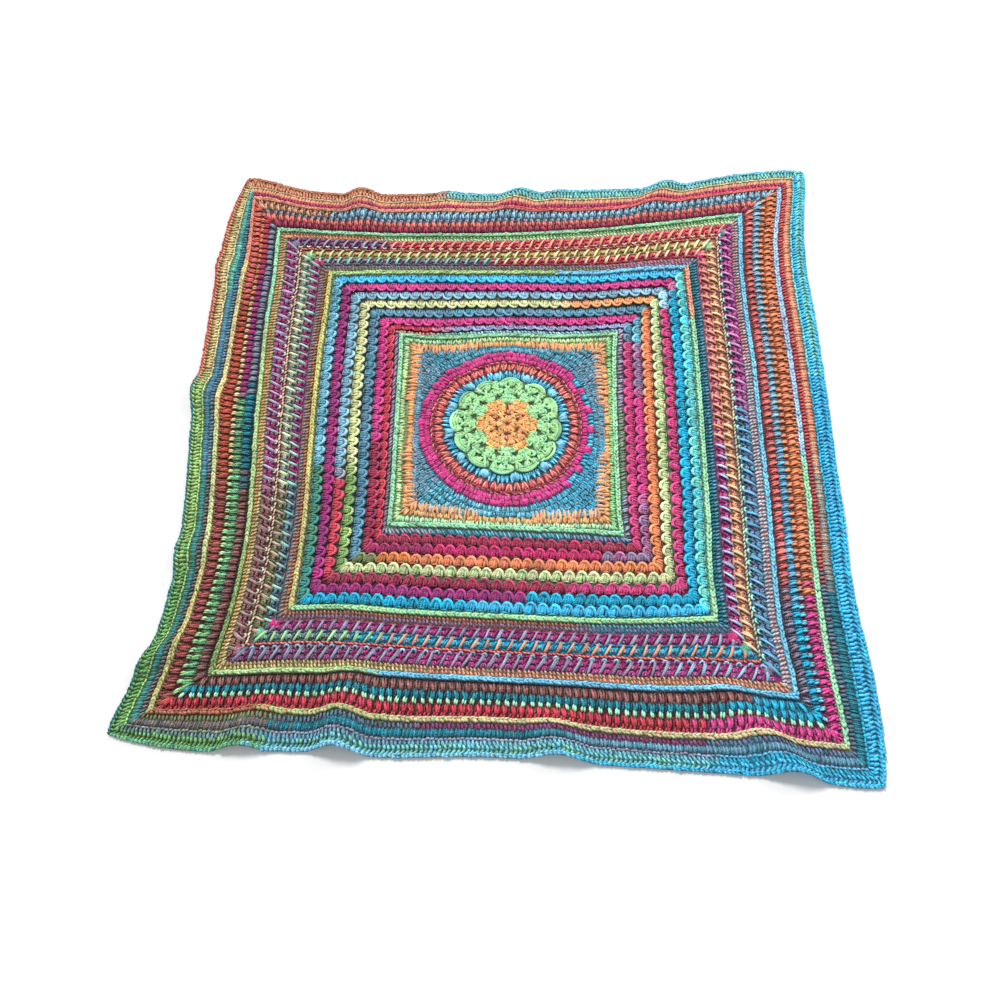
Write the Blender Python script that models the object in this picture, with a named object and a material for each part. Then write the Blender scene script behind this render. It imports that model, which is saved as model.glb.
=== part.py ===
"""A square crochet afghan, worked in rounds in one piece and lying flat on a floor.

The cloth is first laid out in its squared-up frame, where u and v run from -EDGE to EDGE.
There its outline, its ridged rounds, its ribs, its bobbles and its gaps are drawn as points
and lines, which a constrained triangulation turns into an upper and a lower skin. Each point
is then put where the worn cloth lies: a little out of square, and lifted where the hem ripples.
Units are metres. +Z is up, -Y is the near side, and the origin is under the flower's centre.
"""

import math
from collections import namedtuple

import bmesh
import bpy
from mathutils import Vector
from mathutils.geometry import delaunay_2d_cdt

MM = 0.001
EDGE = 0.600  # half the side of the afghan, squared up
CORNER_ROUNDING = 0.020  # share by which each tip of the hem is drawn in
CLOTH = 0.0042  # thickness of a plain round
RIDGE_RISE = 0.0036  # how far a ridged round stands above a plain one
RIDGE_FOOT = 0.0062  # half the width of a ridged round
RIB_RISE = 0.0026
BOBBLE_RISE = 0.0055
QUARTER = math.pi / 2
SIDES = range(4)  # near, right, far, left: each runs anticlockwise, seen from above

# Where the rounds lie, in millimetres: the half size as worked, the four corners, and how far
# in from the line between two corners each side lies, at eight equal steps from the one
# corner to the other, anticlockwise.
Lay = namedtuple("Lay", "half near_left near_right far_right far_left near right far left")
LAYS = (
    Lay(
        half=205, near_left=(-205, -205), near_right=(206, -218), far_right=(205, 200), far_left=(-215, 199),
        near=(2, 3, 3, 3, 3, 3, 2), right=(4, 5, 6, 6, 6, 5, 4),
        far=(4, 6, 4, 2, 4, 8, 7), left=(2, 2, 2, 2, 2, 2, 2),
    ),
    Lay(
        half=235, near_left=(-225, -235), near_right=(235, -247), far_right=(233, 220), far_left=(-235, 216),
        near=(2, 2, 2, 1, 1, 1, 0), right=(4, 4, 4, 4, 4, 3, 3),
        far=(4, 7, 5, 3, 4, 6, 5), left=(1, 1, 1, 1, 2, 3, 2),
    ),
    Lay(
        half=358, near_left=(-358, -357), near_right=(354, -364), far_right=(347, 356), far_left=(-368, 344),
        near=(4, -1, -4, -6, -8, -9, -6), right=(2, -2, -3, -4, -5, -5, -3),
        far=(3, 10, 8, 5, 3, 0, -1), left=(-1, -3, -3, -1, 2, 5, 4),
    ),
    Lay(
        half=475, near_left=(-477, -470), near_right=(472, -488), far_right=(462, 487), far_left=(-490, 457),
        near=(9, 12, 9, 8, 7, 4, 7), right=(13, 12, 9, 9, 7, 10, 9),
        far=(13, 24, 30, 32, 28, 23, 12), left=(5, 4, 9, 14, 23, 27, 19),
    ),
    Lay(
        half=551, near_left=(-569, -536), near_right=(542, -565), far_right=(549, 558), far_left=(-556, 546),
        near=(10, 14, 11, 16, 11, 6, 9), right=(15, 20, 18, 17, 20, 26, 22),
        far=(18, 41, 51, 49, 47, 44, 35), left=(12, 12, 15, 17, 33, 44, 30),
    ),
    Lay(
        half=600, near_left=(-645, -584), near_right=(602, -635), far_right=(614, 614), far_left=(-588, 613),
        near=(-5, 5, 6, 17, 17, 17, 15), right=(5, 20, 23, 22, 24, 31, 24),
        far=(16, 49, 54, 63, 60, 61, 48), left=(-9, -2, 9, 19, 42, 57, 48),
    ),
)

# The ripples of the hem: the side, the place along it from -1 to 1 at the hem and at the
# ripple's inner end, and in millimetres half the width, the height and the inward pull at the
# hem, and how far in from the hem the ripple reaches.
Ripple = namedtuple("Ripple", "side place inner_place width height pull reach")
RIPPLES = (
    Ripple(side=0, place=-0.63, inner_place=-0.74, width=52, height=16, pull=8, reach=120),
    Ripple(side=0, place=-0.375, inner_place=-0.58, width=55, height=28, pull=11, reach=190),
    Ripple(side=0, place=0.19, inner_place=0.17, width=65, height=20, pull=9, reach=110),
    Ripple(side=0, place=0.77, inner_place=0.78, width=60, height=25, pull=9, reach=190),
    Ripple(side=1, place=-0.27, inner_place=-0.27, width=110, height=8, pull=0, reach=100),
    Ripple(side=1, place=0.42, inner_place=0.42, width=120, height=9, pull=0, reach=100),
    Ripple(side=2, place=-0.50, inner_place=-0.58, width=52, height=19, pull=0, reach=140),
    Ripple(side=2, place=-0.14, inner_place=-0.14, width=45, height=6, pull=0, reach=80),
    Ripple(side=2, place=0.00, inner_place=0.02, width=50, height=18, pull=0, reach=110),
    Ripple(side=2, place=0.25, inner_place=0.25, width=50, height=6, pull=0, reach=80),
    Ripple(side=2, place=0.555, inner_place=0.60, width=48, height=20, pull=0, reach=140),
    Ripple(side=3, place=-0.58, inner_place=-0.62, width=50, height=11, pull=0, reach=90),
    Ripple(side=3, place=-0.08, inner_place=-0.08, width=60, height=23, pull=0, reach=110),
    Ripple(side=3, place=0.46, inner_place=0.46, width=46, height=15, pull=0, reach=100),
    Ripple(side=3, place=0.79, inner_place=0.80, width=48, height=20, pull=0, reach=100),
)

# Rounds of points that the skins are drawn on: the half size as worked, and how many points
# each side has, with more of them where the hem ripples.
Round = namedtuple("Round", "half points")
RIDGES = (Round(0.205, 8), Round(0.358, 16), Round(0.475, 22), Round(0.551, 44))
UPPER_ROUNDS = (Round(0.572, 44), Round(0.587, 44))
LOWER_ROUNDS = (
    Round(0.318, 12), Round(0.358, 16), Round(0.430, 22), Round(0.486, 44), Round(0.528, 44), Round(0.565, 44),
)
HEM_POINTS = 44

# The band of post stitches, whose ribs run across its rounds.
RIBS_INNER = 0.486
RIBS_OUTER = 0.541
RIBS_PER_SIDE = 80

# Rings of bobbles and rings of gaps round the flower: radius, number, first angle, size.
Ring = namedtuple("Ring", "radius count first_angle size")
BOBBLE_RINGS = (Ring(0.107, 12, math.radians(10), 0.0068), Ring(0.157, 24, math.radians(-2), 0.0062))
GAP_RINGS = (
    Ring(0.020, 6, math.radians(30), 0.0062),
    Ring(0.063, 12, math.radians(15), 0.0062),
    Ring(0.080, 24, math.radians(7), 0.0052),
    Ring(0.141, 24, math.radians(4), 0.0056),
)

# Rows of gaps between the clusters of the two most open rounds, and the gaps at the corners.
GapRow = namedtuple("GapRow", "half per_side size")
GAP_ROWS = (GapRow(0.279, 28, 0.0052), GapRow(0.297, 28, 0.0052))
CORNER_GAPS = (0.176, 0.191)
CORNER_GAP_SIZE = 0.0056

YARN_COLOR = (0.36, 0.40, 0.34, 1.0)
YARN_ROUGHNESS = 0.92


def turned(point, side):
    """A point of the near side moved to the same place of another side."""
    angle = side * QUARTER
    u, v = point
    return (
        u * math.cos(angle) - v * math.sin(angle),
        u * math.sin(angle) + v * math.cos(angle),
    )


def side_and_place(u, v):
    """The side a point belongs to, its place along it from -1 to 1, and its round's half size."""
    half = max(abs(u), abs(v), 1e-9)
    if -v >= abs(u):
        return 0, u / half, half
    if u >= abs(v):
        return 1, v / half, half
    if v >= abs(u):
        return 2, -u / half, half
    return 3, -v / half, half


def bow(steps, place):
    """How far in a side lies at a place, on a smooth curve through its steps."""
    values = (0, 0, *steps, 0, 0)
    along = (place + 1) / 2 * (len(steps) + 1)
    i = min(int(along), len(steps))
    t = along - i
    before, start, end, after = values[i : i + 4]
    slope = (end - before) / 2
    bend = before - 2.5 * start + 2 * end - after / 2
    twist = (3 * (start - end) + after - before) / 2
    return start + t * (slope + t * (bend + t * twist))


def on_lay(lay, side, place):
    """Where a place on one of the measured rounds lies on the floor."""
    corners = (lay.near_left, lay.near_right, lay.far_right, lay.far_left)
    steps = (lay.near, lay.right, lay.far, lay.left)[side]
    start, end = Vector(corners[side]), Vector(corners[(side + 1) % 4])
    inward = Vector(turned((0.0, 1.0), side))
    return MM * (start.lerp(end, (place + 1) / 2) + inward * bow(steps, place))


def rippled(side, place, half):
    """How far the ripples move a point inwards and up."""
    inwards = up = 0.0
    for ripple in RIPPLES:
        grown = 1 - (EDGE - half) / (MM * ripple.reach)
        crest = ripple.inner_place + (ripple.place - ripple.inner_place) * grown
        away = abs(place - crest) * half / (MM * ripple.width)
        if ripple.side != side or away >= 1 or grown <= 0:
            continue
        bump = MM * math.cos(away * QUARTER) ** 2 * grown * grown * (3 - 2 * grown)
        inwards += ripple.pull * bump
        up += ripple.height * bump
    return inwards, up


def laid(u, v):
    """Where a point of the squared-up cloth's underside lies."""
    side, place, half = side_and_place(u, v)
    outer = next(i for i, lay in enumerate(LAYS) if MM * lay.half >= half - 1e-6)
    spot = on_lay(LAYS[outer], side, place)
    if outer == 0:
        spot *= half / (MM * LAYS[0].half)
    else:
        gap = MM * (LAYS[outer].half - LAYS[outer - 1].half)
        spot = spot.lerp(on_lay(LAYS[outer - 1], side, place), (MM * LAYS[outer].half - half) / gap)
    spot *= 1 - CORNER_ROUNDING * (abs(u * v) / EDGE**2) ** 10
    inwards, up = rippled(side, place, half)
    spot += Vector(turned((0.0, inwards), side))
    return Vector((spot.x, spot.y, up))


def square_ring(half, points_per_side):
    """The points of one round, anticlockwise, starting at the near left corner."""
    steps = [2 * half * i / points_per_side - half for i in range(points_per_side)]
    return [turned((step, -half), side) for side in SIDES for step in steps]


def triangle(centre, size, heading):
    """The three corners of a gap, one of which points along the heading."""
    radius = size / math.sqrt(3)
    angles = [heading + k * math.tau / 3 for k in range(3)]
    return [(centre[0] + radius * math.cos(a), centre[1] + radius * math.sin(a)) for a in angles]


def ring_spots(ring):
    """The centre and the outward heading of each thing in a ring round the flower."""
    for k in range(ring.count):
        angle = ring.first_angle + k * math.tau / ring.count
        yield (ring.radius * math.cos(angle), ring.radius * math.sin(angle)), angle


def gaps():
    """Every gap that is cut through the cloth, as its three corners."""
    found = []
    for ring in GAP_RINGS:
        found += [triangle(centre, ring.size, heading) for centre, heading in ring_spots(ring)]
    for row in GAP_ROWS:
        pitch = 2 * row.half / row.per_side
        for side in SIDES:
            for k in range(row.per_side):
                centre = turned((pitch * (k + 0.5) - row.half, -row.half), side)
                found.append(triangle(centre, row.size, side * QUARTER - QUARTER))
    for reach in CORNER_GAPS:
        for side in SIDES:
            heading = side * QUARTER - QUARTER / 2
            found.append(triangle(turned((reach, -reach), side), CORNER_GAP_SIZE, heading))
    return found


class Sketch:
    """Points, each with a height above the underside, and the lines that join them."""

    def __init__(self):
        self.points = []
        self.heights = []
        self.lines = []
        self.numbers = {}

    def add(self, points, heights):
        """Adds points and returns the number of the first."""
        first = len(self.points)
        self.points += points
        self.heights += heights
        return first

    def spot(self, point, height):
        """The number of a point that sides may share; it is added the first time."""
        key = (round(point[0], 6), round(point[1], 6))
        if key not in self.numbers:
            self.numbers[key] = self.add([point], [height])
        return self.numbers[key]

    def loop(self, points, heights):
        """Adds a closed line through the points."""
        first, count = self.add(points, heights), len(points)
        self.lines += [(first + i, first + (i + 1) % count) for i in range(count)]
        return first

    def faces(self, cut):
        """Triangles inside the outline and outside every gap, as numbers of the points."""
        flat = [Vector(p) for p in self.points]
        made = delaunay_2d_cdt(flat, self.lines, [], 1, 1e-7)
        numbers = [origin[0] for origin in made[3]]
        taken = {frozenset(range(first, first + 3)) for first in cut}
        found = [tuple(numbers[i] for i in face) for face in made[2]]
        return [face for face in found if frozenset(face) not in taken]


def start_sketch(height):
    """A sketch that holds the hem and the gaps, which both skins share, in the same order."""
    sketch = Sketch()
    hem = square_ring(EDGE, HEM_POINTS)
    sketch.loop(hem, [height] * len(hem))
    cut = [sketch.loop(gap, [height] * 3) for gap in gaps()]
    return sketch, cut


def draw_ridge(sketch, ridge):
    """A ridged round: its crest between its two feet."""
    for offset, rise in ((-RIDGE_FOOT, 0), (0, RIDGE_RISE), (RIDGE_FOOT, 0)):
        points = square_ring(ridge.half + offset, ridge.points)
        sketch.loop(points, [CLOTH + rise] * len(points))


def draw_ribs(sketch):
    """The ribs: crests and troughs by turns, square to the hem and mitred at the corners."""
    step = RIBS_OUTER / RIBS_PER_SIDE
    for side in SIDES:
        rows = []
        for i in range(2 * RIBS_PER_SIDE + 1):
            along = i * step - RIBS_OUTER
            height = CLOTH + RIB_RISE * (i % 2)
            inner = sketch.spot(turned((along, -max(RIBS_INNER, abs(along))), side), height)
            outer = sketch.spot(turned((along, -RIBS_OUTER), side), height)
            rows.append((inner, outer))
        sketch.lines += rows[1:-1]
        for edge in zip(*rows):
            sketch.lines += zip(edge, edge[1:])


def draw_bobbles(sketch):
    """Each bobble is a three-sided knob on the cloth."""
    for ring in BOBBLE_RINGS:
        for centre, heading in ring_spots(ring):
            foot = triangle(centre, 2 * ring.size, heading)
            sketch.loop(foot, [CLOTH] * 3)
            sketch.add([centre], [CLOTH + BOBBLE_RISE])


def upper_skin():
    """The face of the cloth, with everything that stands out of it."""
    sketch, cut = start_sketch(CLOTH)
    for ridge in RIDGES:
        draw_ridge(sketch, ridge)
    draw_ribs(sketch)
    draw_bobbles(sketch)
    for ring in UPPER_ROUNDS:
        points = square_ring(ring.half, ring.points)
        sketch.loop(points, [CLOTH] * len(points))
    return sketch, cut


def lower_skin():
    """The back of the cloth, flat on the floor but for the ripples."""
    sketch, cut = start_sketch(0.0)
    for ring in LOWER_ROUNDS:
        points = square_ring(ring.half, ring.points)
        sketch.loop(points, [0.0] * len(points))
    return sketch, cut


def add_skin(mesh, sketch, cut, facing_up):
    """Adds a skin to the mesh and returns its vertices in the order of the sketch's points."""
    vertices = []
    for (u, v), height in zip(sketch.points, sketch.heights):
        vertices.append(mesh.verts.new(laid(u, v) + Vector((0, 0, height))))
    for face in sketch.faces(cut):
        corners = [vertices[i] for i in face]
        mesh.faces.new(corners if facing_up else reversed(corners))
    return vertices


def close_edges(mesh, upper, lower, shared):
    """Joins the skins along the hem and round each gap; the first shared points match."""
    below = dict(zip(upper[:shared], lower[:shared]))
    for edge in [e for e in mesh.edges if e.is_boundary and e.verts[0] in below]:
        loop = edge.link_loops[0]
        start, end = loop.vert, loop.link_loop_next.vert
        mesh.faces.new((end, start, below[start], below[end]))


def yarn():
    """Wool-like yarn in the mean of its many colours."""
    material = bpy.data.materials.new("yarn")
    material.use_nodes = True
    shader = material.node_tree.nodes["Principled BSDF"]
    shader.inputs["Base Color"].default_value = YARN_COLOR
    shader.inputs["Roughness"].default_value = YARN_ROUGHNESS
    shader.inputs["Metallic"].default_value = 0.0
    return material


def build():
    for old in list(bpy.data.objects):
        bpy.data.objects.remove(old)
    mesh = bmesh.new()
    upper_sketch, cut = upper_skin()
    lower_sketch, _ = lower_skin()
    shared = 4 * HEM_POINTS + 3 * len(cut)
    upper = add_skin(mesh, upper_sketch, cut, True)
    lower = add_skin(mesh, lower_sketch, cut, False)
    close_edges(mesh, upper, lower, shared)
    bmesh.ops.triangulate(mesh, faces=[f for f in mesh.faces if len(f.verts) > 3])
    data = bpy.data.meshes.new("afghan")
    mesh.to_mesh(data)
    mesh.free()
    data.materials.append(yarn())
    afghan = bpy.data.objects.new("afghan", data)
    bpy.context.scene.collection.objects.link(afghan)


build()
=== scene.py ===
"""A square crochet afghan, spread out flat in soft studio light.

It is worked in one piece from the flower in its middle out to the hem, so the script follows
the hook: the flower, the rounds that square it up, the bands of stitches with the ridges
between them, the hem, and last the web of hidden yarn under them all. Stitches are drawn in
millimetres on the squared-up cloth, and then put where the worn cloth lies, in metres, +Z up.
"""

import math
from collections import namedtuple

import bpy
import numpy as np
from mathutils import Matrix, Vector
from mathutils.geometry import delaunay_2d_cdt


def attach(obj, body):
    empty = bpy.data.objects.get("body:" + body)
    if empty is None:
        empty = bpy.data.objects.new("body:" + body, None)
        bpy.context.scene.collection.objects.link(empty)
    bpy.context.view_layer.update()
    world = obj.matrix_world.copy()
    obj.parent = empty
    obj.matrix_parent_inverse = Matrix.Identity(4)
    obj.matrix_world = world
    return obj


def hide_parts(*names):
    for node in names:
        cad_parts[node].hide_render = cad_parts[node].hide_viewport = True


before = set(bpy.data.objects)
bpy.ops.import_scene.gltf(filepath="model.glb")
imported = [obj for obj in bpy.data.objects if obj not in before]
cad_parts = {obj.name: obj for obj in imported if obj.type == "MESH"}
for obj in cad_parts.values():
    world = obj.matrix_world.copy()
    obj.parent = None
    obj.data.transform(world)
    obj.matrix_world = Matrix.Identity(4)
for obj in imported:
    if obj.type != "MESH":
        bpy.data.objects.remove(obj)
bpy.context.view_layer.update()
scene = bpy.context.scene
bpy.ops.object.select_all(action="DESELECT")


# The view and the studio
# The camera looks down on the near side, a little from the right. The floor is a plain pale
# board, and the light is a broad soft sun from the far left with an even pale sky, and a lamp
# beyond the far right corner, away from which the cloth grows a little darker.

camera_data = bpy.data.cameras.new("camera")
camera_data.sensor_width = 36.0
camera_data.lens = 30.6
camera = bpy.data.objects.new("camera", camera_data)
scene.collection.objects.link(camera)
CAMERA_PLACE = (0.0738, -0.7553, 1.3828)
HEADING, TILT, ROLL = 0.1363, 0.4154, -0.1156
camera.matrix_world = (
    Matrix.Translation(CAMERA_PLACE)
    @ Matrix.Rotation(HEADING, 4, "Z")
    @ Matrix.Rotation(TILT, 4, "X")
    @ Matrix.Rotation(ROLL, 4, "Z")
)
scene.camera = camera
scene.view_settings.view_transform = "Standard"

sun_data = bpy.data.lights.new("sun", "SUN")
sun_data.energy = 2.4
sun_data.angle = 0.30
sun_data.color = (1.0, 0.98, 0.95)
sun = bpy.data.objects.new("sun", sun_data)
scene.collection.objects.link(sun)
sun.rotation_euler = Vector((-0.55, 0.75, 1.0)).to_track_quat("Z", "Y").to_euler()

lamp_data = bpy.data.lights.new("lamp", "AREA")
lamp_data.energy = 28.0
lamp_data.size = 1.2
lamp = bpy.data.objects.new("lamp", lamp_data)
scene.collection.objects.link(lamp)
lamp.location = (1.5, 1.4, 1.3)
lamp.rotation_euler = lamp.location.to_track_quat("Z", "Y").to_euler()

sky = bpy.data.worlds.new("sky")
sky.use_nodes = True
sky.node_tree.nodes["Background"].inputs["Color"].default_value = (0.94, 0.97, 1.0, 1.0)
sky.node_tree.nodes["Background"].inputs["Strength"].default_value = 0.58
scene.world = sky

bpy.ops.mesh.primitive_plane_add(size=14.0, location=(0.0, 0.0, -0.0006))
floor = bpy.context.object
floor.name = "floor"
board = bpy.data.materials.new("pale_board")
board.use_nodes = True
board_shader = board.node_tree.nodes["Principled BSDF"]
board_shader.inputs["Base Color"].default_value = (0.90, 0.90, 0.90, 1.0)
board_shader.inputs["Roughness"].default_value = 0.9
floor.data.materials.append(board)
floor.select_set(False)


# How the cloth lies
# Worn and spread out by hand, the cloth is a little out of square and its hem ripples. Five
# rounds give its outline in millimetres: the half size as worked, the four corners, and how
# far in each side lies at eight equal steps from one corner to the next, anticlockwise.

MM = 0.001
EDGE = 0.600
CORNER_ROUNDING = 0.020
QUARTER = math.pi / 2
SIDES = range(4)  # near, right, far, left

Lay = namedtuple("Lay", "half near_left near_right far_right far_left near right far left")
LAYS = (
    Lay(
        half=205, near_left=(-205, -205), near_right=(206, -218), far_right=(205, 200), far_left=(-215, 199),
        near=(2, 3, 3, 3, 3, 3, 2), right=(4, 5, 6, 6, 6, 5, 4),
        far=(4, 6, 4, 2, 4, 8, 7), left=(2, 2, 2, 2, 2, 2, 2),
    ),
    Lay(
        half=235, near_left=(-225, -235), near_right=(235, -247), far_right=(233, 220), far_left=(-235, 216),
        near=(2, 2, 2, 1, 1, 1, 0), right=(4, 4, 4, 4, 4, 3, 3),
        far=(4, 7, 5, 3, 4, 6, 5), left=(1, 1, 1, 1, 2, 3, 2),
    ),
    Lay(
        half=358, near_left=(-358, -357), near_right=(354, -364), far_right=(347, 356), far_left=(-368, 344),
        near=(4, -1, -4, -6, -8, -9, -6), right=(2, -2, -3, -4, -5, -5, -3),
        far=(3, 10, 8, 5, 3, 0, -1), left=(-1, -3, -3, -1, 2, 5, 4),
    ),
    Lay(
        half=475, near_left=(-477, -470), near_right=(472, -488), far_right=(462, 487), far_left=(-490, 457),
        near=(9, 12, 9, 8, 7, 4, 7), right=(13, 12, 9, 9, 7, 10, 9),
        far=(13, 24, 30, 32, 28, 23, 12), left=(5, 4, 9, 14, 23, 27, 19),
    ),
    Lay(
        half=551, near_left=(-569, -536), near_right=(542, -565), far_right=(549, 558), far_left=(-556, 546),
        near=(10, 14, 11, 16, 11, 6, 9), right=(15, 20, 18, 17, 20, 26, 22),
        far=(18, 41, 51, 49, 47, 44, 35), left=(12, 12, 15, 17, 33, 44, 30),
    ),
    Lay(
        half=600, near_left=(-645, -584), near_right=(602, -635), far_right=(614, 614), far_left=(-588, 613),
        near=(-5, 5, 6, 17, 17, 17, 15), right=(5, 20, 23, 22, 24, 31, 24),
        far=(16, 49, 54, 63, 60, 61, 48), left=(-9, -2, 9, 19, 42, 57, 48),
    ),
)

# A ripple of the hem: its side, its place along it from -1 to 1 at the hem and at its inner
# end, and in millimetres half its width, its height, its inward pull and how far in it reaches.
Ripple = namedtuple("Ripple", "side place inner_place width height pull reach")
RIPPLES = (
    Ripple(side=0, place=-0.63, inner_place=-0.74, width=52, height=16, pull=8, reach=120),
    Ripple(side=0, place=-0.375, inner_place=-0.58, width=55, height=28, pull=11, reach=190),
    Ripple(side=0, place=0.19, inner_place=0.17, width=65, height=20, pull=9, reach=110),
    Ripple(side=0, place=0.77, inner_place=0.78, width=60, height=25, pull=9, reach=190),
    Ripple(side=1, place=-0.27, inner_place=-0.27, width=110, height=8, pull=0, reach=100),
    Ripple(side=1, place=0.42, inner_place=0.42, width=120, height=9, pull=0, reach=100),
    Ripple(side=2, place=-0.50, inner_place=-0.58, width=52, height=19, pull=0, reach=140),
    Ripple(side=2, place=-0.14, inner_place=-0.14, width=45, height=6, pull=0, reach=80),
    Ripple(side=2, place=0.00, inner_place=0.02, width=50, height=18, pull=0, reach=110),
    Ripple(side=2, place=0.25, inner_place=0.25, width=50, height=6, pull=0, reach=80),
    Ripple(side=2, place=0.555, inner_place=0.60, width=48, height=20, pull=0, reach=140),
    Ripple(side=3, place=-0.58, inner_place=-0.62, width=50, height=11, pull=0, reach=90),
    Ripple(side=3, place=-0.08, inner_place=-0.08, width=60, height=23, pull=0, reach=110),
    Ripple(side=3, place=0.46, inner_place=0.46, width=46, height=15, pull=0, reach=100),
    Ripple(side=3, place=0.79, inner_place=0.80, width=48, height=20, pull=0, reach=100),
)


def turned(points, side):
    """Points of the near side moved to the same place of another side."""
    cosine, sine = ((1, 0), (0, 1), (-1, 0), (0, -1))[side]
    across, away = points[..., 0], points[..., 1]
    return np.stack((across * cosine - away * sine, across * sine + away * cosine), axis=-1)


def curved(before, start, end, after, t):
    """A smooth curve from start to end that also heeds its two neighbours."""
    slope = (end - before) / 2
    bend = before - 2.5 * start + 2 * end - after / 2
    twist = (3 * (start - end) + after - before) / 2
    return start + t * (slope + t * (bend + t * twist))


def on_lay(lay, side, places):
    """Where places along one side of a measured round lie on the floor."""
    corners = (lay.near_left, lay.near_right, lay.far_right, lay.far_left)
    steps = (lay.near, lay.right, lay.far, lay.left)[side]
    start, end = np.array(corners[side]), np.array(corners[(side + 1) % 4])
    values = np.array((0, 0, *steps, 0, 0), float)
    along = (places + 1) / 2 * (len(steps) + 1)
    i = np.clip(along.astype(int), 0, len(steps))
    bow = curved(values[i], values[i + 1], values[i + 2], values[i + 3], along - i)
    share = ((places + 1) / 2)[:, None]
    inward = turned(np.stack((0 * bow, bow), axis=-1), side)
    return MM * (start * (1 - share) + end * share + inward)


def rippled(side, places, halves):
    """How far the ripples of one side move points inwards and up."""
    inwards, up = np.zeros(len(places)), np.zeros(len(places))
    for ripple in RIPPLES:
        if ripple.side != side:
            continue
        grown = np.maximum(1 - (EDGE - halves) / (MM * ripple.reach), 0)
        crest = ripple.inner_place + (ripple.place - ripple.inner_place) * grown
        away = np.minimum(abs(places - crest) * halves / (MM * ripple.width), 1)
        bump = MM * np.cos(away * QUARTER) ** 2 * grown * grown * (3 - 2 * grown)
        inwards += ripple.pull * bump
        up += ripple.height * bump
    return inwards, up


def laid(points):
    """Puts points of the squared-up cloth, with their heights, where the worn cloth lies."""
    u, v, height = points.T
    halves = np.maximum(np.maximum(abs(u), abs(v)), 1e-9)
    sides = np.select((-v >= abs(u), u >= abs(v), v >= abs(u)), (0, 1, 2), 3)
    rounds = MM * np.array([0, *(lay.half for lay in LAYS)])
    outer = np.clip(np.searchsorted(rounds, halves - 1e-6), 1, len(LAYS))
    share = ((halves - rounds[outer - 1]) / (rounds[outer] - rounds[outer - 1]))[:, None]
    spots = np.zeros((len(points), 3))
    for side in SIDES:
        mine = sides == side
        places = ((u, v, -u, -v)[side] / halves)[mine]
        rows = [np.zeros((len(places), 2)), *(on_lay(lay, side, places) for lay in LAYS)]
        rows = np.stack(rows)
        here, which = np.arange(len(places)), outer[mine]
        flat = rows[which - 1, here] * (1 - share[mine]) + rows[which, here] * share[mine]
        flat *= (1 - CORNER_ROUNDING * (abs(u * v)[mine] / EDGE**2) ** 10)[:, None]
        inwards, up = rippled(side, places, halves[mine])
        spots[mine, :2] = flat + turned(np.stack((0 * inwards, inwards), axis=-1), side)
        spots[mine, 2] = up + height[mine]
    return spots


# The yarn
# A soft two-ply worsted that is dyed in long runs of colour, with one ply a little paler, so
# that it looks marled. A round's chart names its yarns in the order that the hook meets them,
# with the place along the side, from -1 to 1, where one runs into the next.

YARNS = {
    "orange": (246, 158, 80), "salmon": (242, 142, 120), "coral": (234, 98, 102), "crimson": (206, 56, 98),
    "magenta": (206, 44, 130), "pink": (222, 84, 156), "purple": (134, 66, 130), "maroon": (140, 60, 84),
    "red": (206, 70, 62), "rust": (206, 112, 76), "brown": (156, 118, 100), "tan": (236, 180, 140),
    "teal": (30, 150, 172), "darkteal": (30, 104, 122), "cyan": (24, 196, 246), "sky": (92, 200, 244),
    "lightblue": (160, 222, 244), "bluegrey": (128, 156, 184), "grey": (158, 150, 164),
    "lilac": (186, 180, 226), "lime": (200, 226, 140), "green": (150, 216, 132), "mint": (146, 236, 198),
    "palegreen": (190, 232, 178), "deepgreen": (96, 148, 84), "yellow": (236, 214, 130),
    "cream": (244, 234, 192),
}
PALE_PLY = 0.30  # how far towards white the second ply of a yarn of one colour goes
BLEND = 0.06  # the part of half a side over which one yarn runs into the next
dice = np.random.default_rng(11)


def linear(name):
    """A yarn's colour for the shader, from its colour in daylight."""
    return (np.array(YARNS[name]) / 255) ** 2.2


def plies(word):
    """The colours of a yarn's two plies: two that are named, or one and its paler twin."""
    names = word.split("+")
    main = linear(names[0])
    return main, linear(names[1]) if len(names) > 1 else main + (1 - main) * PALE_PLY


def dyed(chart, places, heather=0.5):
    """The colours of the two plies of stitches at places along a side, more mixed in a heather."""
    words = chart.split()
    main, second = (np.ones((len(places), 3)) * ply for ply in plies(words[0]))
    for change, word in zip(words[1::2], words[2::2]):
        past = (places - float(change)) / BLEND + dice.normal(0.5, 0.5, len(places))
        share = np.clip(past, 0, 1)[:, None]
        next_main, next_second = plies(word)
        main = main * (1 - share) + next_main * share
        second = second * (1 - share) + next_second * share
    mixed = dice.random((len(places), 1)) * heather
    main = main * (1 - mixed) + second * mixed
    drift = 1 + 0.08 * np.sin(places * 9 + dice.random() * math.tau)
    drift += 0.06 * np.sin(places * 23 + dice.random() * math.tau)
    return main * drift[:, None], second * drift[:, None]


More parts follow.
